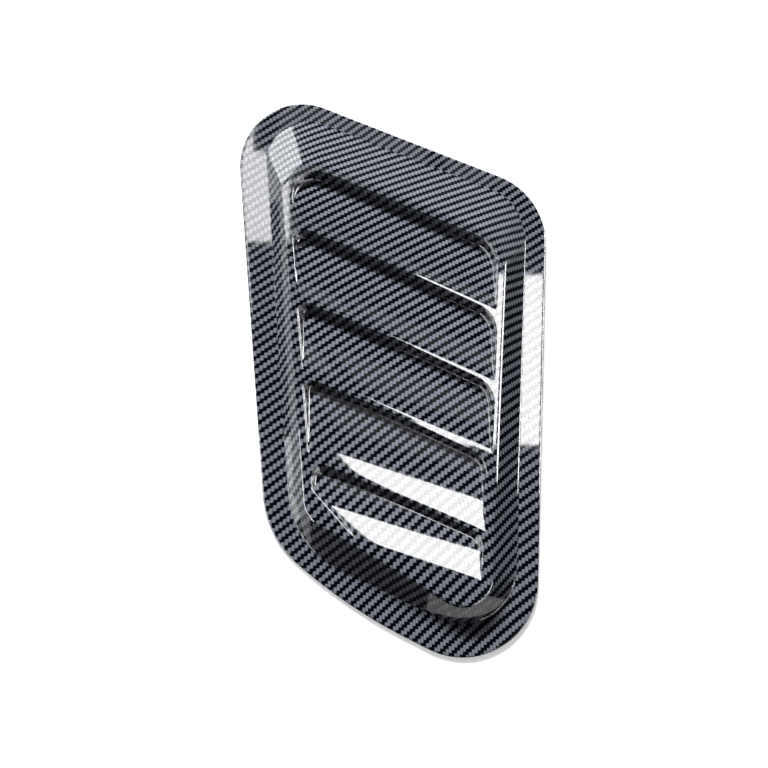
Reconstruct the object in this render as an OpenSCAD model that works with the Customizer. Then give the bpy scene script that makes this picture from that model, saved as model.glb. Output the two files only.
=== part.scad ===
// Side vent trim: one moulded shell that is stuck to a car's body side.
// A flat flange runs all round a raised body, and five blind louvres step down the raised face.
// Millimetres. X is across, Y is along, Z is up from the back of the flange.

/* [Overall] */
// Width over the flange
trim_width = 210; // [190:1:230]
// Length over the flange
trim_length = 380; // [350:1:410]
// Height of the raised face over the panel
trim_height = 16; // [14:0.5:20]

/* [Shell] */
// Thickness of the flat flange
flange_thickness = 2.6; // [2.2:0.1:3.2]
// Radius along the outer edge of the flange
edge_round = 1.2; // [0.6:0.1:1.8]
// Thickness of the moulded wall
wall = 2.5; // [2:0.1:2.8]

/* [Raised body] */
// Width of the fillet where the body meets the flange
foot_fillet = 2; // [1:0.1:3]
// Width of the rounding along the top of the body's walls
crown_round = 4; // [2:0.1:4.5]

/* [Louvres] */
// Depth of the four long louvres at the foot of their step
louvre_depth = 5; // [4:0.1:6.5]
// Depth of the short last louvre at the foot of its step
last_depth = 3.4; // [3:0.1:5]
// How much the floors curve: 1 is flat
floor_curve = 1.3; // [1:0.05:1.5]
// Rise over run of the step under each lip
step_slope = 1.3; // [1:0.1:2]
// Rise over run of the louvre's other walls
side_slope = 2.2; // [1.5:0.1:3]
// Width of the rounding along the lips
lip_round = 2; // [1:0.1:2.5]
// Width of the rounding along the louvre's other walls
side_round = 2; // [1.2:0.1:2.4]

/* [Hidden] */

overlap = 1;
floor_end = 0.2;
floor_steps = 6;
arc_steps = 8;
sharp_radius = 5;
sharp_steps = 3;
least_radius = 1.5;
edge_steps = 5;
blend_steps = 3;
side_reach = 35;
print_colour = [0.17, 0.18, 0.21];

// Plan corners, counter-clockwise from the left mitre: x, y, corner radius.
flange_plan = [
    [-109.7, 211.6, 42.7], [-87.5, -106.5, 68],
    [-31.6, -155.8, 363], [97.9, -221.8, 51.9], [105.8, 127.6, 50]
];
crease_plan = [
    [-87.1, 156.3, 3.4], [-69.9, -114.6, 65], [83.3, -186.6, 36.7],
    [91.3, 96.7, 4], [83.7, 125, 30.8], [-75, 186.5, 30]
];
face_plan = [
    [-74.8, 129.8, 1.7], [-58, -90.7, 18.9], [63.5, -162.5, 17.4],
    [74.6, 77.7, 2.4], [67.2, 97.4, 26.4], [-59.2, 148.5, 16.8]
];

// Each louvre: the low end left and right, then the corners of the lip right and left.
louvre_plans = [
    [[-68.6, 110.1, 0], [70.7, 52.2, 0], [72.2, 92.9, 23.4], [-71.9, 151.3, 18.2]],
    [[-66.2, 57.3, 0], [69.3, 2.5, 0], [71.3, 48.8, 22.2], [-70.6, 107.6, 8.8]],
    [[-62, 6, 0], [67.5, -46.4, 0], [69.7, -0.7, 20.9], [-66.4, 54.2, 6.8]],
    [[-58.1, -51.1, 0], [63.5, -100.2, 0], [65.3, -48.6, 18.9], [-62.6, 3, 6.8]],
    [[-29.6, -103.4, 5.3], [61.1, -134, 0], [62.9, -103.1, 16.1], [-56.1, -55, 8.8], [-55.8, -73.6, 9.1]]
];
lip_edge = 2;
louvre_count = len(louvre_plans);

// The inner surface is the outer one moved in and down, so the sloping walls keep their thickness too.
wall_in = 0.5 * wall;
wall_down = wall;

function unit(v) = v / norm(v);

function next(i, count) = (i + 1) % count;

function last(i, count) = (i + count - 1) % count;

// The direction into the outline from the edge that starts at corner i.
function inward(plan, i) =
    let (b = plan[next(i, len(plan))] - plan[i], u = unit([b.x, b.y]))
    [-u.y, u.x];

// Moves a corner in from the two edges that meet there, by a distance for each.
function moved(c, m, n, dm, dn) =
    let (turn = m.x * n.y - m.y * n.x)
    [c.x + (dm * n.y - dn * m.y) / turn, c.y + (dn * m.x - dm * n.x) / turn];

// Adds how many pieces each corner's arc has, so that every ring of one shape has as many points.
function drawn(plan) = [for (c = plan) concat(c, c[2] < sharp_radius ? sharp_steps : arc_steps)];

function smaller(radius, step) = radius > 0 ? max(radius - step, least_radius) : 0;

// The outline with every edge moved in by its own distance.
function inset(plan, steps) =
    let (count = len(plan))
    [for (i = [0:count - 1])
        let (p = last(i, count))
        let (q = moved(plan[i], inward(plan, p), inward(plan, i), steps[p], steps[i]))
        [q.x, q.y, smaller(plan[i][2], (steps[p] + steps[i]) / 2), plan[i][3]]
    ];

function deepest(n) = n == louvre_count - 1 ? last_depth : louvre_depth;

function even(plan, step) = [for (c = plan) step];

// The arc at corner i of an outline, or just its point where the radius is zero.
function corner(plan, i) =
    let (c = [plan[i].x, plan[i].y], r = plan[i][2])
    let (m = inward(plan, last(i, len(plan))), n = inward(plan, i))
    let (centre = moved(c, m, n, r, r), turn = atan2(m.x * n.y - m.y * n.x, m * n))
    let (start = atan2(-m.y, -m.x))
    r == 0 ? [c] : [for (k = [0:plan[i][3]])
        let (angle = start + turn * k / plan[i][3])
        centre + r * [cos(angle), sin(angle)]];

// The points of an outline: its corners, and the edges between them cut into steps.
function rounded(plan, steps = 1) =
    let (count = len(plan), arcs = [for (i = [0:count - 1]) corner(plan, i)])
    [for (i = [0:count - 1])
        let (arc = arcs[i], a = arc[len(arc) - 1], b = arcs[next(i, count)][0])
        for (p = concat(arc, [for (k = [1:1:steps - 1]) a + (b - a) * k / steps])) p
    ];

// Height along a wall that blends out of a fillet at its foot and into a rounding at its top.
function wall_height(t, width, rise, foot, top) =
    let (slope = rise / (width - (foot + top) / 2))
    t < foot ? slope * t * t / (2 * foot) :
    t > width - top ? rise - slope * (width - t) * (width - t) / (2 * top) :
    slope * (t - foot / 2);

// How far a louvre's wall stands in from its outline at a depth, with the rounding at the top.
function set_back(depth, slope, round) =
    depth < slope * round / 2 ? sqrt(2 * round * depth / slope) : round / 2 + depth / slope;

// Joins rings of equal point counts, low ring first, into a solid.
module loft(rings) {
    size = len(rings[0]);
    top = len(rings) - 1;
    points = [for (ring = rings) for (p = ring) p];
    sides = [for (k = [0:top - 1]) for (i = [0:size - 1])
        let (a = k * size + i, b = k * size + next(i, size))
        [a, a + size, b + size, b]];
    polyhedron(
        points = points,
        faces = concat(
            [[for (i = [0:size - 1]) i]],
            sides,
            [[for (i = [size - 1:-1:0]) top * size + i]]
        ),
        convexity = 6
    );
}

function at_height(points, z) = [for (p = points) [p.x, p.y, z]];

// The flat plate with its rounded outer edge.
module flange() {
    plan = drawn(flange_plan);
    straight = flange_thickness - edge_round;
    edge = [for (k = [0:blend_steps])
        let (angle = 90 * k / blend_steps)
        let (ring = rounded(inset(plan, even(plan, edge_round * (1 - cos(angle))))))
        at_height(ring, straight + edge_round * sin(angle))];
    loft(concat([at_height(rounded(plan), 0)], edge));
}

// The raised body, from the crease on the flange up to the edge of its face.
module body(step, drop) {
    foot = rounded(inset(drawn(crease_plan), even(crease_plan, step)), edge_steps);
    face = rounded(inset(drawn(face_plan), even(face_plan, step)), edge_steps);
    base = flange_thickness - drop;
    rise = trim_height - flange_thickness;
    low = [for (k = [0:blend_steps]) foot_fillet * k / blend_steps];
    high = [for (k = [blend_steps:-1:0]) crown_round * k / blend_steps];
    wide = [for (i = [0:len(foot) - 1]) norm(face[i] - foot[i])];
    function ring(places) = [for (i = [0:len(foot) - 1])
        let (p = foot[i] + places[i] * (face[i] - foot[i]) / wide[i])
        [p.x, p.y, base + wall_height(places[i], wide[i], rise, foot_fillet, crown_round)]];
    loft(concat(
        [at_height(foot, base - flange_thickness / 2 - drop)],
        [for (t = low) ring([for (w = wide) t])],
        [for (t = high) ring([for (w = wide) w - t])]
    ));
}

// The pocket of one louvre, with sloping walls and rounded lips, deeper than its floor.
module pocket(n, grow) {
    plan = inset(drawn(louvre_plans[n]), even(louvre_plans[n], -grow));
    reach = deepest(n) + overlap;
    lip_turn = step_slope * lip_round / 2;
    depths = concat([for (k = [0:blend_steps]) lip_turn * pow(k / blend_steps, 2)], [reach]);
    function walls(depth) = [for (i = [0:len(plan) - 1])
        i == lip_edge ? set_back(depth, step_slope, lip_round) :
        i == 0 ? 0 : set_back(depth, side_slope, side_round)];
    rings = [for (d = depths) at_height(rounded(inset(plan, walls(d))), trim_height - d)];
    above = at_height(rounded(plan), trim_height + wall);
    loft(concat([for (k = [len(rings) - 1:-1:0]) rings[k]], [above]));
}

// The space over one louvre's floor, which is ruled between the low end and the foot of the step.
module floor_space(n, grow) {
    plan = drawn(louvre_plans[n]);
    from = [plan[0].x, plan[0].y];
    to = [plan[1].x, plan[1].y];
    ends = [[plan[lip_edge + 1].x, plan[lip_edge + 1].y], [plan[lip_edge].x, plan[lip_edge].y]];
    up = inward(plan, 0);
    along = unit(to - from);
    deep = deepest(n);
    back = set_back(deep, step_slope, lip_round);
    near = (ends[0] - from) * up - back;
    far = (ends[1] - to) * up - back;
    before = overlap + grow;
    beyond = overlap + grow + back;
    function section(u) =
        let (run = near + (far - near) * u / norm(to - from))
        let (slope = floor_curve * (deep - floor_end) / run)
        let (line = [for (k = [1:floor_steps - 1])
            [run * k / floor_steps, -floor_end - (deep - floor_end) * pow(k / floor_steps, floor_curve)]])
        let (profile = concat(
            [[run + beyond, 2 * wall], [-before, 2 * wall], [-before, -floor_end]],
            line,
            [[run + beyond, -deep - slope * beyond]]
        ))
        [for (p = profile)
            let (q = from + u * along + p.x * up)
            [q.x, q.y, trim_height + p.y]];
    loft([section(-side_reach), section(norm(to - from) + side_reach)]);
}

module louvre(n, grow = 0) {
    intersection() {
        pocket(n, grow);
        floor_space(n, grow);
    }
}

module shell() {
    difference() {
        union() {
            flange();
            body(0, 0);
        }
        for (n = [0:louvre_count - 1])
            louvre(n);
        difference() {
            body(wall_in, wall_down);
            translate([0, 0, -wall_down])
                for (n = [0:louvre_count - 1])
                    louvre(n, wall_in);
        }
    }
}

// The plan is drawn near its real size and then brought to the overall width and length.
module vent_trim() {
    color(print_colour)
        resize([trim_width, trim_length, 0])
            shell();
}

vent_trim();
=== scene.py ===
import math

import bpy
import numpy as np
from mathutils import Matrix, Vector
from mathutils.geometry import delaunay_2d_cdt


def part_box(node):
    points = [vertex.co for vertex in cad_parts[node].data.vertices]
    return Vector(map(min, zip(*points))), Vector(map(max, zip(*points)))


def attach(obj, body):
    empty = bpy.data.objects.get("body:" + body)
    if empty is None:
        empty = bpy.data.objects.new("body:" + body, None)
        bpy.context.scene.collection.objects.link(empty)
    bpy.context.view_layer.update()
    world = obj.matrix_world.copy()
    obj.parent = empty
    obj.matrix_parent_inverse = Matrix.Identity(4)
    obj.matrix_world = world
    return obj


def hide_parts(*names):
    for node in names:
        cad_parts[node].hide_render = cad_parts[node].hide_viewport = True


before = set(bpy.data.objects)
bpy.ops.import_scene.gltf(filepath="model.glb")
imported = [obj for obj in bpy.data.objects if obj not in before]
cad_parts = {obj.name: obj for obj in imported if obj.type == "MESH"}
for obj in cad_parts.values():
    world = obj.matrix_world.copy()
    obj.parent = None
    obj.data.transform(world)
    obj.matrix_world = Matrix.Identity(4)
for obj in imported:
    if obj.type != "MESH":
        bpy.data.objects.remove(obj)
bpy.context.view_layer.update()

# Side vent trim: one moulded ABS shell with a carbon-look twill print under clear lacquer.
# Shapes are worked out in millimetres, in the frame's own axes, and turned to metres in the mesh.

metre = 0.001
node = "vent_trim"
cadLow, cadHigh = [np.array(corner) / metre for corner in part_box(node)]
print("frame loaded, box in mm", cadLow.round(2), cadHigh.round(2))


# Small tools

def linearColour(hexColour):
    # sRGB hex to linear RGBA
    out = []
    for i in (0, 2, 4):
        c = int(hexColour.lstrip("#")[i:i + 2], 16) / 255
        out.append(c / 12.92 if c <= 0.04045 else ((c + 0.055) / 1.055) ** 2.4)
    return (*out, 1.0)


def addNode(tree, kind, settings=None, inputs=None):
    # settings are the node's properties; inputs name its sockets, each fed by a value or another socket
    made = tree.nodes.new(kind)
    for name, value in (settings or {}).items():
        setattr(made, name, value)
    for name, value in (inputs or {}).items():
        if isinstance(value, bpy.types.NodeSocket):
            tree.links.new(value, made.inputs[name])
        else:
            made.inputs[name].default_value = value
    return made


# Plans: corners with their radius, counter-clockwise from the left mitre

plans = {
    "flange": [
        (-109.7, 211.6, 42.7), (-87.5, -106.5, 68),
        (-31.6, -155.8, 363), (97.9, -221.8, 51.9), (105.8, 127.6, 50),
    ],
    "crease": [
        (-87.1, 156.3, 3.4), (-69.9, -114.6, 65), (83.3, -186.6, 36.7),
        (91.3, 96.7, 4), (83.7, 125, 30.8), (-75, 186.5, 30),
    ],
    "face": [
        (-74.8, 129.8, 1.7), (-58, -90.7, 18.9), (63.5, -162.5, 17.4),
        (74.6, 77.7, 2.4), (67.2, 97.4, 26.4), (-59.2, 148.5, 16.8),
    ],
    # each louvre: the low end left and right, then the lip from right to left, slightly bowed
    "louvres": [
        [
            (-68.6, 110.4, 0), (70.5, 47.4, 0), (72.2, 91.9, 23.4),
            (0.2, 122.2, 1000), (-71.9, 151.5, 18.2),
        ],
        [
            (-66.4, 59.3, 0), (69.1, -1.2, 0), (71.2, 45.7, 22.2),
            (0.4, 78.2, 1000), (-70.6, 107.3, 8.8),
        ],
        [
            (-62.1, 7.6, 0), (67.4, -49.1, 0), (69.6, -3, 20.9),
            (2.4, 28.6, 1000), (-66.6, 56.5, 6.8),
        ],
        [
            (-58.3, -49.1, 0), (63.4, -102, 0), (65.2, -51.9, 18.9),
            (1.8, -21.7, 1000), (-62.7, 4.7, 6.8),
        ],
        [
            (-28, -105.2, 5.3), (61, -135.2, 0), (62.9, -103.7, 16.1),
            (4.4, -76.7, 1000), (-56.6, -51.4, 8.8), (-56.5, -72.6, 9.1),
        ],
    ],
}
leastRadius = 0.8


def edgeNormals(plan):
    # unit normals of the edges, pointing into the outline
    corners = np.array([c[:2] for c in plan], float)
    run = np.roll(corners, -1, axis=0) - corners
    run /= np.linalg.norm(run, axis=1)[:, None]
    return np.stack([-run[:, 1], run[:, 0]], axis=1)


def movedIn(plan, steps):
    # the outline with each edge moved in by its own distance
    normals = edgeNormals(plan)
    out = []
    for i, (x, y, radius) in enumerate(plan):
        m, n, dm, dn = normals[i - 1], normals[i], steps[i - 1], steps[i]
        turn = m[0] * n[1] - m[1] * n[0]
        smaller = max(radius - (dm + dn) / 2, leastRadius) if radius else 0
        out.append((x + (dm * n[1] - dn * m[1]) / turn, y + (dn * m[0] - dm * n[0]) / turn, smaller))
    return out


def outline(plan, arcSteps, edgeSteps):
    # points of the outline, and for each whether the step that follows it is on a straight edge
    normals = edgeNormals(plan)
    arcs = []
    for i, (x, y, radius) in enumerate(plan):
        m, n = normals[i - 1], normals[i]
        turn = m[0] * n[1] - m[1] * n[0]
        if radius == 0:
            arcs.append(np.array([(x, y)]))
            continue
        centre = np.array([x + radius * (n[1] - m[1]) / turn, y + radius * (m[0] - n[0]) / turn])
        angles = math.atan2(-m[1], -m[0]) + math.atan2(turn, m @ n) * np.linspace(0, 1, arcSteps + 1)
        arcs.append(centre + radius * np.stack([np.cos(angles), np.sin(angles)], axis=1))
    points, straight = [], []
    for arc, following in zip(arcs, arcs[1:] + arcs[:1]):
        share = np.linspace(0, 1, edgeSteps + 1)[1:-1, None]
        points += [arc, arc[-1] + (following[0] - arc[-1]) * share]
        straight += [False] * (len(arc) - 1) + [True] * edgeSteps
    return np.vstack(points), np.array(straight)


def ringTangents(rings, straight):
    # direction along each ring, exact on straight edges and where an arc meets one
    ahead = np.roll(rings, -1, axis=-2) - rings
    behind = np.roll(ahead, 1, axis=-2)
    tangents = np.where(np.roll(straight, 1)[:, None], behind, ahead + behind)
    return np.where(straight[:, None], ahead, tangents)


def unit(vectors):
    return vectors / np.linalg.norm(vectors, axis=-1, keepdims=True)


# The print: a twill film that was laid over the form, so its tows stretch from place to place.
# Each term is (power of x, power of y, stretch), with x and y in hundreds of millimetres. A film that
# isn't stretched has the one term (1, 0, 1) across and (0, 1, 1) along.

film = {
    "tow": 2.0,        # width of one tow, as in a common 3K twill
    "hundred": 100.0,
    "start": 400,      # keeps both counts above zero
    "face": {
        "across": [
            (1, 0, 0.896), (0, 1, -0.126),
            (2, 0, 0.04), (1, 1, 0.006), (0, 2, -0.018), (0, 3, 0.014),
        ],
        "along": [
            (1, 0, 0.09), (0, 1, 1.05),
            (2, 0, 0.09), (1, 1, 0.07), (0, 2, 0.1), (0, 3, 0.016),
        ],
    },
    "flange": {
        "across": [
            (1, 0, 1.1), (0, 1, -0.036),
            (2, 0, 0.046), (1, 1, 0.038), (3, 0, -0.1),
        ],
        "along": [
            (1, 0, 0.138), (0, 1, 1.168),
            (2, 0, 0.052), (1, 1, 0.018), (0, 2, 0.072), (3, 0, -0.052),
        ],
    },
}


def filmPlace(region, places):
    # how many tows lie across and along the film up to each place
    x, y = places[..., 0] / film["hundred"], places[..., 1] / film["hundred"]
    tows = film["hundred"] / film["tow"]
    counts = []
    for way in ("across", "along"):
        counts.append(tows * sum(c * x ** i * y ** j for i, j, c in film[region][way]))
    return film["start"] + np.stack(counts, axis=-1)


# Mesh: faces with a normal and a film place at each corner, and points shared between the patches

mesh = {"index": {}, "points": [], "corners": [], "sizes": [], "normals": [], "film": [], "finish": []}
sheetForm = {
    "spacing": 5.0,      # between the points inside a sheet, in mm
    "rimGap": 0.4,       # how near to the rim they may lie, as a share of the spacing
    "flatTurn": 1e-4,    # twice the area below which a triangle is left out, in mm2
    "merge": 1e-6,       # points nearer to each other than this are one, in mm
}


def pointIndex(p):
    # points that agree to a tenth of a micrometre are shared
    key = (round(float(p[0]), 4), round(float(p[1]), 4), round(float(p[2]), 4))
    if key not in mesh["index"]:
        mesh["index"][key] = len(mesh["points"])
        mesh["points"].append(p)
    return mesh["index"][key]


def addFace(corners, finish, under):
    # corners are (index, normal, film place), counter-clockwise seen from above
    kept = [c for i, c in enumerate(corners) if c[0] != corners[i - 1][0]]
    if len({c[0] for c in kept}) < 3:
        return
    if under:
        kept = [(i, (-n[0], -n[1], -n[2]), f) for i, n, f in reversed(kept)]
    for index, normal, place in kept:
        mesh["corners"].append(index)
        mesh["normals"].append(normal)
        mesh["film"].append(place)
    mesh["sizes"].append(len(kept))
    mesh["finish"].append(finish)


def addGrid(places, normals, films, finish, under):
    ids = [[pointIndex(p) for p in row] for row in places]
    rows, count = places.shape[:2]
    for r in range(rows - 1):
        for i in range(count):
            k = (i + 1) % count
            around = ((r, i), (r, k), (r + 1, k), (r + 1, i))
            addFace([(ids[a][b], normals[a, b], films[a, b]) for a, b in around], finish, under)


def inside(points, loop):
    x, y = points[:, 0], points[:, 1]
    hit = np.zeros(len(points), bool)
    for (x1, y1), (x2, y2) in zip(loop, np.roll(loop, -1, axis=0)):
        if y1 == y2:
            continue
        crosses = (y1 > y) != (y2 > y)
        hit ^= crosses & (x < (x2 - x1) * (y - y1) / (y2 - y1) + x1)
    return hit


def addSheet(outer, holes, surface, finish, under, spacing=sheetForm["spacing"]):
    # a triangulated sheet between outlines; surface gives the height, normal and film place at points
    loops = [outer, *holes]
    rim = np.vstack(loops)
    edges, first = [], 0
    for loop in loops:
        edges += [(first + i, first + (i + 1) % len(loop)) for i in range(len(loop))]
        first += len(loop)
    low, high = rim.min(axis=0), rim.max(axis=0)
    gridX, gridY = [np.arange(a + spacing / 2, b, spacing) for a, b in zip(low, high)]
    extra = np.stack(np.meshgrid(gridX, gridY), axis=-1).reshape(-1, 2)
    extra = extra[inside(extra, outer)]
    for hole in holes:
        extra = extra[~inside(extra, hole)]
    gaps = np.sqrt(((extra[:, None] - rim[None]) ** 2).sum(axis=-1)).min(axis=1)
    given = np.vstack([rim, extra[gaps > spacing * sheetForm["rimGap"]]])
    found = delaunay_2d_cdt([Vector(p) for p in given], edges, [], 0, sheetForm["merge"])
    source = [olds[0] for olds in found[3]]
    triangles = np.array([[source[i] for i in face] for face in found[2]])
    centres = given[triangles].mean(axis=1)
    keep = inside(centres, outer)
    for hole in holes:
        keep &= ~inside(centres, hole)
    heights, normals, places = surface(given)
    ids = [pointIndex((x, y, z)) for (x, y), z in zip(given, heights)]
    for a, b, c in triangles[keep]:
        (ax, ay), (bx, by), (cx, cy) = given[a], given[b], given[c]
        turn = (bx - ax) * (cy - ay) - (by - ay) * (cx - ax)
        if abs(turn) < sheetForm["flatTurn"]:
            continue  # three points of one straight edge
        if turn < 0:
            b, c = c, b
        addFace([(ids[i], normals[i], places[i]) for i in (a, b, c)], finish, under)


# The shell: a flat flange with a rounded edge, and walls that rise from the crease to the face

shellForm = {
    "height": 15.6,
    "flange": 2.6,
    "edgeRound": (1.8, 1.2),    # width and height of the rounding along the flange
    "footFillet": 1.3,
    "crownRound": 3.0,
    "arcSteps": 26,
    "edgeSteps": 44,
    "footRows": 6,
    "wallRows": 6,
    "crownRows": 9,
    "edgeRows": 8,
}
upper = {"finish": 0, "under": False, "in": 0.0, "down": 0.0, "grow": 0.0}
# the inner side is the outer one moved in and down, which leaves a wall of 2 to 2.6 mm
lower = {"finish": 1, "under": True, "in": 0.3, "down": 2.6, "grow": 0.1}
flatUp = np.array([0.0, 0.0, 1.0])

drawn = outline(plans["flange"], shellForm["arcSteps"], shellForm["edgeSteps"])[0]
fit = (cadHigh - cadLow)[:2] / (drawn.max(axis=0) - drawn.min(axis=0))


def shellOutline(name, step=0.0):
    plan = plans[name]
    moved = movedIn(plan, [step] * len(plan))
    points, straight = outline(moved, shellForm["arcSteps"], shellForm["edgeSteps"])
    return points * fit, straight


def flatSurface(height, region):
    def surface(points):
        return np.full(len(points), height), np.tile(flatUp, (len(points), 1)), filmPlace(region, points)
    return surface


def addFlange(foot, innerFoot):
    top = shellForm["flange"]
    wide, high = shellForm["edgeRound"]
    angles = np.linspace(0, math.pi / 2, shellForm["edgeRows"] + 1)
    sides = [(0.0, 0.0, 0.0)]
    sides += [(wide * (1 - math.cos(a)), top - high + high * math.sin(a), a) for a in angles]
    places, normals = [], []
    for step, z, tilt in sides:
        ring, straight = shellOutline("flange", step)
        along = unit(ringTangents(ring, straight))
        outward = np.stack([along[:, 1], -along[:, 0]], axis=1)
        places.append(np.column_stack([ring, np.full(len(ring), z)]))
        lean = np.full(len(ring), wide * math.sin(tilt))
        normals.append(np.column_stack([outward * high * math.cos(tilt), lean]))
    places, normals = np.array(places), unit(np.array(normals))
    addGrid(places, normals, filmPlace("flange", places), upper["finish"], False)
    addSheet(places[-1, :, :2], [foot], flatSurface(top, "flange"), upper["finish"], False)
    addSheet(places[0, :, :2], [innerFoot], flatSurface(0.0, "flange"), lower["finish"], True)


def wallHeight(t, width, rise, foot, top):
    # a fillet at the foot, a straight slope and a rounding at the top, with the slope at each place
    slope = rise / (width - (foot + top) / 2)
    high = slope * (t - foot / 2)
    high = np.where(t < foot, slope * t * t / (2 * foot), high)
    high = np.where(t > width - top, rise - slope * (width - t) ** 2 / (2 * top), high)
    steep = np.where(t < foot, slope * t / foot, slope)
    steep = np.where(t > width - top, slope * (width - t) / top, steep)
    return high, steep


def addWalls(side):
    foot, straight = shellOutline("crease", side["in"])
    face = shellOutline("face", side["in"])[0]
    width = np.linalg.norm(face - foot, axis=1)
    f, c = shellForm["footFillet"], shellForm["crownRound"]
    rows = [np.full(len(width), t) for t in np.linspace(0, f, shellForm["footRows"] + 1)]
    rows += [f + (width - f - c) * s for s in np.linspace(0, 1, shellForm["wallRows"] + 1)[1:]]
    rows += [width - c + t for t in np.linspace(0, c, shellForm["crownRows"] + 1)[1:]]
    rows = np.array(rows)
    rise = shellForm["height"] - shellForm["flange"]
    high, steep = wallHeight(rows, width, rise, f, c)
    way = (face - foot) / width[:, None]
    plan = foot + rows[..., None] * way
    places = np.concatenate([plan, (shellForm["flange"] - side["down"] + high)[..., None]], axis=-1)
    climb = np.concatenate([np.broadcast_to(way, plan.shape), steep[..., None]], axis=-1)
    normals = unit(np.cross(ringTangents(places, straight), climb))
    normals[0] = normals[-1] = flatUp
    # the film keeps its length down the wall, counted from the edge of the face
    length = np.sqrt((np.diff(rows, axis=0)) ** 2 + np.diff(high, axis=0) ** 2)
    below = np.vstack([np.cumsum(length[::-1], axis=0)[::-1], np.zeros(len(width))])
    spare = below - (width - rows)
    films = filmPlace("face", plan - spare[..., None] * way)
    addGrid(places, normals, films, side["finish"], side["under"])
    return foot, face


# Louvres: each drops over a rounded lip to a floor that climbs back to the face at its low end

louvreForm = {
    "depths": [(6.6, 6.6), (6.2, 6.2), (5.8, 5.8), (5.8, 5.8), (5.0, 3.5)],    # left and right
    "tilts": [0.083, 0.083, 0.1, 0.083, 0.07],    # slope of the floor just above its low end
    "stepSlopes": [1.55, 1.55, 1.55, 1.55, 0.85],    # rise over run under the lips
    "sideSlope": 1.7,
    "lowSlope": 3.0,
    "lowRound": 1.0,      # rounding where the floor leaves the face
    "lipRound": 1.0,
    "sideRound": 2.4,
    "sidePower": 4,       # how gently the sides roll over
    "footBlend": 1.6,     # rounding where the walls meet the floor
    "spareDepth": 2.2,    # how far the walls are drawn below the floor before they are blended with it
    "arcSteps": 20,
    "edgeSteps": 24,
    "rows": 30,
    "floorSpacing": 4.0,
}
lipEdges = (2, 3)    # the two edges of the plan that meet in the middle of the lip


def setBack(depth, slope, rounding, power=2):
    # how far a wall has come in at a depth; a higher power rolls over more gently at first
    if depth < slope * rounding / power:
        return rounding * (depth * power / (slope * rounding)) ** (1 / power)
    return rounding * (1 - 1 / power) + depth / slope


def depthAt(back, slope, rounding):
    # the other way round, for the lips
    return slope * back ** 2 / (2 * rounding) if back < rounding else slope * (back - rounding / 2)


def addLouvre(n, side):
    form, plan = louvreForm, plans["louvres"][n]
    lowLeft, lowRight, lipRight, _, lipLeft = [np.array(corner[:2]) for corner in plan[:5]]
    uphill = edgeNormals(plan)[0]
    sideways = np.array([uphill[1], -uphill[0]])
    length = np.linalg.norm(lowRight - lowLeft)
    leftDeep, rightDeep = form["depths"][n]
    stepSlope = form["stepSlopes"][n]
    leftRun = (lipLeft - lowLeft) @ uphill - setBack(leftDeep, stepSlope, form["lipRound"])
    rightRun = (lipRight - lowRight) @ uphill - setBack(rightDeep, stepSlope, form["lipRound"])
    outer = movedIn(plan, [-side["grow"]] * len(plan))
    top = shellForm["height"] - side["down"]

    def floorDepth(points):
        # ruled between the low end and the foot of the step: the depth, and its slope in the plan
        away = points / fit - lowLeft
        u = away @ sideways / length
        run = leftRun + (rightRun - leftRun) * u
        s = np.clip(away @ uphill, 1e-6, None) / run
        bend = form["lowRound"] / leftRun
        tilt = form["tilts"][n] * leftRun
        rest = leftDeep + (rightDeep - leftDeep) * u - tilt * (math.hypot(1, bend) - bend)
        depth = tilt * (np.hypot(s, bend) - bend) + rest * s ** 2
        up = (tilt * s / np.hypot(s, bend) + 2 * rest * s) / run
        along = ((rightDeep - leftDeep) * s ** 2 - up * s * (rightRun - leftRun)) / length
        return depth, up[:, None] * uphill + along[:, None] * sideways

    def floorSurface(points):
        depth, slope = floorDepth(points)
        normals = unit(np.column_stack([slope, np.ones(len(points))]))
        return top - depth, normals, filmPlace("face", points)

    farthest = setBack(max(leftDeep, rightDeep) + form["spareDepth"], stepSlope, form["lipRound"])
    places = []
    for back in np.linspace(0, farthest, form["rows"] + 1):
        wall = depthAt(back, stepSlope, form["lipRound"])
        steps = [setBack(wall, form["sideSlope"], form["sideRound"], form["sidePower"])] * len(outer)
        steps[0] = wall / form["lowSlope"]
        for edge in lipEdges:
            steps[edge] = back
        ring, straight = outline(movedIn(outer, steps), form["arcSteps"], form["edgeSteps"])
        ring = ring * fit
        floor = floorDepth(ring)[0]
        # the lesser of the two depths, blended where they meet
        blend = np.minimum(form["footBlend"], (wall + floor) / 2) + 1e-9
        near = np.clip(blend - np.abs(wall - floor), 0, None) / blend
        depth = np.minimum(wall, floor) - near ** 2 * blend / 4
        places.append(np.column_stack([ring, top - depth]))
    places = np.array(places)
    normals = np.cross(ringTangents(places, straight), np.gradient(places, axis=0))
    normals = unit(np.where(np.abs(normals).sum(axis=-1, keepdims=True) > 1e-9, normals, flatUp))
    normals[0] = flatUp
    normals[-1] = floorSurface(places[-1, :, :2])[1]
    addGrid(places, normals, filmPlace("face", places), side["finish"], side["under"])
    addSheet(places[-1, :, :2], [], floorSurface, side["finish"], side["under"], form["floorSpacing"])
    return places[0, :, :2]


def addSide(side):
    foot, face = addWalls(side)
    lips = [addLouvre(n, side) for n in range(len(plans["louvres"]))]
    height = shellForm["height"] - side["down"]
    addSheet(face, lips, flatSurface(height, "face"), side["finish"], side["under"])
    return foot


addFlange(addSide(upper), addSide(lower))


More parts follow.
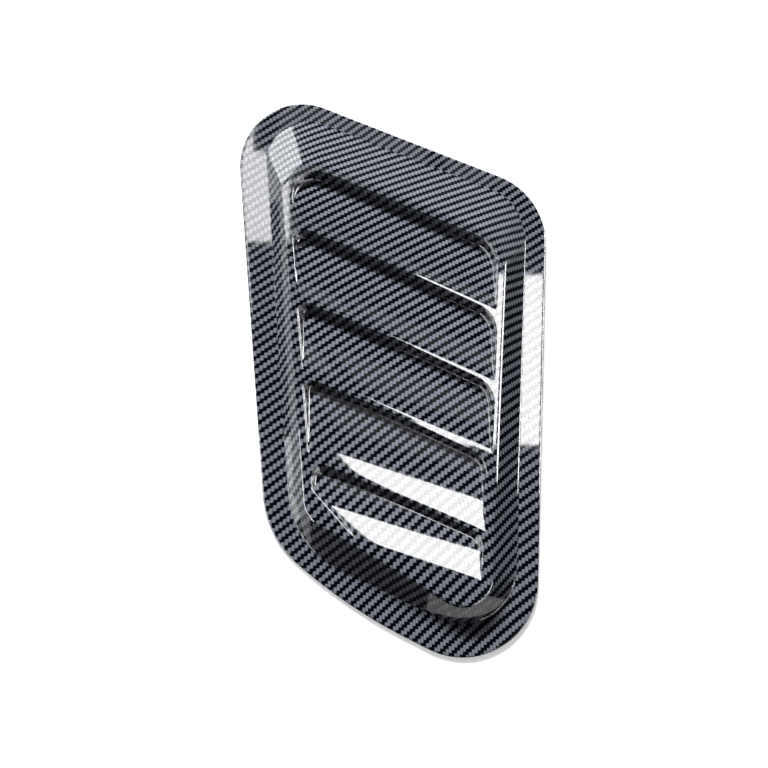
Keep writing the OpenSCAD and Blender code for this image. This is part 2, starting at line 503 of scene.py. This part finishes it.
def makeObject(name):
    data = bpy.data.meshes.new(name)
    points = np.array(mesh["points"]) * metre
    sizes = np.array(mesh["sizes"])
    data.vertices.add(len(points))
    data.vertices.foreach_set("co", points.ravel())
    data.loops.add(len(mesh["corners"]))
    data.loops.foreach_set("vertex_index", np.array(mesh["corners"]))
    data.polygons.add(len(sizes))
    data.polygons.foreach_set("loop_start", np.concatenate([[0], np.cumsum(sizes)[:-1]]))
    data.polygons.foreach_set("material_index", np.array(mesh["finish"]))
    data.update(calc_edges=True)
    places = data.uv_layers.new(name="film")
    places.data.foreach_set("uv", np.array(mesh["film"]).ravel())
    data.polygons.foreach_set("use_smooth", np.ones(len(sizes), bool))
    data.normals_split_custom_set(np.array(mesh["normals"]).tolist())
    made = bpy.data.objects.new(name, data)
    bpy.context.scene.collection.objects.link(made)
    return made


trim = makeObject("trimShell")
print("shell made,", len(mesh["points"]), "points,", len(mesh["sizes"]), "faces")


# Carbon-look print under clear lacquer: even grey warp floats over near-black weft, behind a wet gloss

printLook = {
    "warp": "#989da9",
    "weft": "#05070c",
    "weftSheen": "#0b0e16",    # along the middle of a weft tow
    "towShade": 0.5,           # how much darker a warp tow is at its sides
    "lacquerIor": 1.5,
    "lacquerRoughness": 0.03,
    "printRoughness": 0.5,
    "keepPositive": 4000.0,    # tows added before the remainder is taken, a multiple of four
}


def twillPrint():
    made = bpy.data.materials.new("lacqueredTwillPrint")
    made.use_nodes = True
    tree = made.node_tree
    tree.nodes.clear()

    def sums(operation, *values):
        made = addNode(tree, "ShaderNodeMath", {"operation": operation}, dict(enumerate(values)))
        return made.outputs[0]

    place = addNode(tree, "ShaderNodeUVMap", {"uv_map": "film"})
    split = addNode(tree, "ShaderNodeSeparateXYZ", None, {0: place.outputs[0]})
    across, along = split.outputs[0], split.outputs[1]
    step = sums("SUBTRACT", sums("FLOOR", across), sums("FLOOR", along))
    turn = sums("MODULO", sums("ADD", step, printLook["keepPositive"]), 4.0)
    onTop = sums("LESS_THAN", turn, 1.5)  # over two, under two, one further on at each tow

    def crown(value):
        # 1 in the middle of a tow and 0 at its sides
        offset = sums("SUBTRACT", sums("FRACT", value), 0.5)
        return sums("SUBTRACT", 1.0, sums("MULTIPLY", sums("MULTIPLY", offset, offset), 4.0))

    shade = sums("MULTIPLY_ADD", crown(across), printLook["towShade"], 1 - printLook["towShade"])
    warp = addNode(tree, "ShaderNodeVectorMath", {"operation": "SCALE"},
                   {0: linearColour(printLook["warp"])[:3], "Scale": shade})
    dark, sheen = linearColour(printLook["weft"]), linearColour(printLook["weftSheen"])
    weft = addNode(tree, "ShaderNodeMix", {"data_type": "RGBA"}, {0: crown(along), 6: dark, 7: sheen})
    colour = addNode(tree, "ShaderNodeMix", {"data_type": "RGBA"},
                     {0: onTop, 6: weft.outputs[2], 7: warp.outputs[0]})
    shader = addNode(tree, "ShaderNodeBsdfPrincipled", None, {
        "Base Color": colour.outputs[2],
        "Roughness": printLook["printRoughness"],
        "Specular IOR Level": 0.0,
        "Coat Weight": 1.0,
        "Coat Roughness": printLook["lacquerRoughness"],
        "Coat IOR": printLook["lacquerIor"],
    })
    addNode(tree, "ShaderNodeOutputMaterial", None, {0: shader.outputs[0]})
    return made


# Moulded ABS, as it left the tool: black, satin, with a faint grain of about half a millimetre

mouldedLook = {
    "colour": "#17181a",
    "roughness": 0.5,
    "ior": 1.54,
    "grain": 0.5,          # mm
    "grainDepth": 0.02,    # mm
    "grainShare": 0.3,
}


def mouldedAbs():
    made = bpy.data.materials.new("blackMouldedAbs")
    made.use_nodes = True
    tree = made.node_tree
    tree.nodes.clear()
    place = addNode(tree, "ShaderNodeTexCoord")
    grain = addNode(tree, "ShaderNodeTexNoise", None, {
        0: place.outputs["Object"],
        "Scale": 1 / (mouldedLook["grain"] * metre),
        "Detail": 2.0,
    })
    bump = addNode(tree, "ShaderNodeBump", None, {
        "Height": grain.outputs[0],
        "Strength": mouldedLook["grainShare"],
        "Distance": mouldedLook["grainDepth"] * metre,
    })
    shader = addNode(tree, "ShaderNodeBsdfPrincipled", None, {
        "Base Color": linearColour(mouldedLook["colour"]),
        "Roughness": mouldedLook["roughness"],
        "IOR": mouldedLook["ior"],
        "Normal": bump.outputs[0],
    })
    addNode(tree, "ShaderNodeOutputMaterial", None, {0: shader.outputs[0]})
    return made


trim.data.materials.append(twillPrint())
trim.data.materials.append(mouldedAbs())
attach(trim, "root")
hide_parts(node)
print("finishes made")


# Pale uncoated paper as the floor: it shows white, with the trim's soft shadow on it

paperLook = {
    "colour": "#f8f9fb",
    "size": 24.0,          # metres
    "roughness": 0.9,
    "specular": 0.1,
    "lift": 0.5,           # white that the camera and the lacquer see on top of the light
}


def palePaper():
    made = bpy.data.materials.new("palePaper")
    made.use_nodes = True
    tree = made.node_tree
    path = addNode(tree, "ShaderNodeLightPath")
    seen = path.outputs["Is Camera Ray"]
    for way in ("Is Glossy Ray", "Is Transmission Ray"):
        both = addNode(tree, "ShaderNodeMath", {"operation": "ADD"}, {0: seen, 1: path.outputs[way]})
        seen = both.outputs[0]
    shader = tree.nodes["Principled BSDF"]
    shader.inputs["Base Color"].default_value = linearColour(paperLook["colour"])
    shader.inputs["Roughness"].default_value = paperLook["roughness"]
    shader.inputs["Specular IOR Level"].default_value = paperLook["specular"]
    shader.inputs["Emission Color"].default_value = (1, 1, 1, 1)
    lift = addNode(tree, "ShaderNodeMath", {"operation": "MULTIPLY"}, {0: seen, 1: paperLook["lift"]})
    tree.links.new(lift.outputs[0], shader.inputs["Emission Strength"])
    return made


def addFloor():
    data = bpy.data.meshes.new("floor")
    half = paperLook["size"] / 2
    corners = [(-half, -half, 0), (half, -half, 0), (half, half, 0), (-half, half, 0)]
    data.from_pydata(corners, [], [(0, 1, 2, 3)])
    made = bpy.data.objects.new("floor", data)
    bpy.context.scene.collection.objects.link(made)
    data.materials.append(palePaper())


# The camera looks straight down on the trim from 0.72 m

cameraForm = {
    "place": (-0.0062, -0.002, 0.72),
    "focalPixels": 1046.6,
    "framePixels": 768,
    "sensor": 36.0,    # mm
}


def addCamera():
    data = bpy.data.cameras.new("camera")
    data.sensor_width = cameraForm["sensor"]
    data.lens = cameraForm["sensor"] * cameraForm["focalPixels"] / cameraForm["framePixels"]
    made = bpy.data.objects.new("camera", data)
    made.location = cameraForm["place"]
    bpy.context.scene.collection.objects.link(made)
    bpy.context.scene.camera = made


# Light: the keys and the strip light the print, and what the lacquer mirrors is lit apart from it.
# Places and sizes are in metres, far enough away for nearly parallel light.

studio = {
    # panels overhead: reach in x and in y, as slopes from straight up over the camera, and radiance
    "panelHeight": 6.0,
    "panels": {
        "main": ((0.03, 0.20), (-0.058, 0.104), 21.0),
        "upperLeft": ((-0.14, -0.09), (0.136, 0.222), 13.0),
        "upperCorner": ((-0.14, -0.125), (0.222, 0.25), 13.0),
        "farLeft": ((-1.1, -0.14), (0.055, 0.25), 8.0),
        "greyUpper": ((0.06, 0.30), (0.19, 0.30), 0.5),
        "greyTop": ((-0.10, 0.04), (0.19, 0.30), 0.6),
    },
    # upright screens that face the trim: centre, width and height, radiance
    "screens": {
        "east": ((6.0, 0.5, 3.4), (2.8, 3.6), 36.0),
        "southEast": ((4.2, -4.2, 2.6), (5.6, 1.0), 24.0),
        "southWest": ((-5.6, -3.0, 3.4), (5.0, 3.6), 14.0),
        "west": ((-5.9, 4.6, 5.4), (8.7, 6.0), 9.0),
        "northEast": ((2.4, 9.6, 0.35), (3.0, 0.7), 10.0),
    },
    # a pale strip low in the south, which lights the steps under the lips
    "strip": {"centre": (0.0, -14.0, 1.5), "size": (20.0, 1.4), "radiance": 1.0},
    # low in the north: the narrow one draws the shadows under the lips, the wide one softens them
    "keys": {
        "low": {"towards": (-0.22, 0.84, 0.40), "distance": 14.0, "size": (6.0, 0.9), "radiance": 150.0},
        "high": {"towards": (-0.22, 0.84, 0.50), "distance": 14.0, "size": (6.0, 3.0), "radiance": 11.0},
    },
    # a dim room: black overhead, and grey low down towards the north and west
    "sky": {
        "low": 0.008,
        "north": {"from": -0.1, "to": 0.6, "level": 0.3},
        "west": {"from": 0.1, "to": -0.6, "level": 0.06},
        "greyBelow": 0.4,
        "darkAbove": 0.65,
    },
}


def addLamp(name, centre, size, radiance, mirrored=True):
    # a lamp is either mirrored by the lacquer or lights the print, never both
    data = bpy.data.lights.new(name, "AREA")
    data.shape = "RECTANGLE"
    data.size, data.size_y = size
    data.energy = radiance * size[0] * size[1] * math.pi
    made = bpy.data.objects.new(name, data)
    made.location = centre
    made.rotation_euler = (-Vector(centre)).to_track_quat("-Z", "Y").to_euler()
    made.visible_camera = False
    made.visible_diffuse = not mirrored
    made.visible_glossy = mirrored
    bpy.context.scene.collection.objects.link(made)
    return made


def addLamps():
    high = studio["panelHeight"]
    eyeX, eyeY, eyeHigh = cameraForm["place"]
    spread = high + eyeHigh
    for name, (reachX, reachY, radiance) in studio["panels"].items():
        centre = (eyeX + sum(reachX) / 2 * spread, eyeY + sum(reachY) / 2 * spread, high)
        size = ((reachX[1] - reachX[0]) * spread, (reachY[1] - reachY[0]) * spread)
        addLamp(name, centre, size, radiance).rotation_euler = (0, 0, 0)
    for name, (centre, size, radiance) in studio["screens"].items():
        facing = Vector((-centre[0], -centre[1], 0)).to_track_quat("-Z", "Y")
        addLamp(name, centre, size, radiance).rotation_euler = facing.to_euler()
    strip = studio["strip"]
    addLamp("strip", strip["centre"], strip["size"], strip["radiance"], mirrored=False)
    for name, key in studio["keys"].items():
        centre = Vector(key["towards"]).normalized() * key["distance"]
        addLamp(name, centre, key["size"], key["radiance"], mirrored=False)


def addWorld():
    sky = studio["sky"]
    world = bpy.data.worlds.new("studio")
    bpy.context.scene.world = world
    world.use_nodes = True
    tree = world.node_tree
    tree.nodes.clear()
    place = addNode(tree, "ShaderNodeTexCoord")
    split = addNode(tree, "ShaderNodeSeparateXYZ", None, {0: place.outputs["Generated"]})

    def ramp(source, *reach):
        names = ("From Min", "From Max", "To Min", "To Max")
        made = addNode(tree, "ShaderNodeMapRange", {"interpolation_type": "SMOOTHSTEP"},
                       {"Value": source, **dict(zip(names, reach))})
        return made.outputs[0]

    grey = [ramp(split.outputs[axis], sky[side]["from"], sky[side]["to"], 0.0, sky[side]["level"])
            for side, axis in (("north", 1), ("west", 0))]
    height = ramp(split.outputs[2], sky["greyBelow"], sky["darkAbove"], 1.0, 0.0)
    sides = addNode(tree, "ShaderNodeMath", {"operation": "ADD"}, {0: grey[0], 1: grey[1]})
    level = addNode(tree, "ShaderNodeMath", {"operation": "MULTIPLY_ADD"},
                    {0: sides.outputs[0], 1: height, 2: sky["low"]})
    glow = addNode(tree, "ShaderNodeBackground", None,
                   {"Color": (1, 1, 1, 1), "Strength": level.outputs[0]})
    addNode(tree, "ShaderNodeOutputWorld", None, {0: glow.outputs[0]})


addFloor()
addLamps()
addWorld()
addCamera()
bpy.context.scene.view_settings.view_transform = "Standard"
print("stage made")
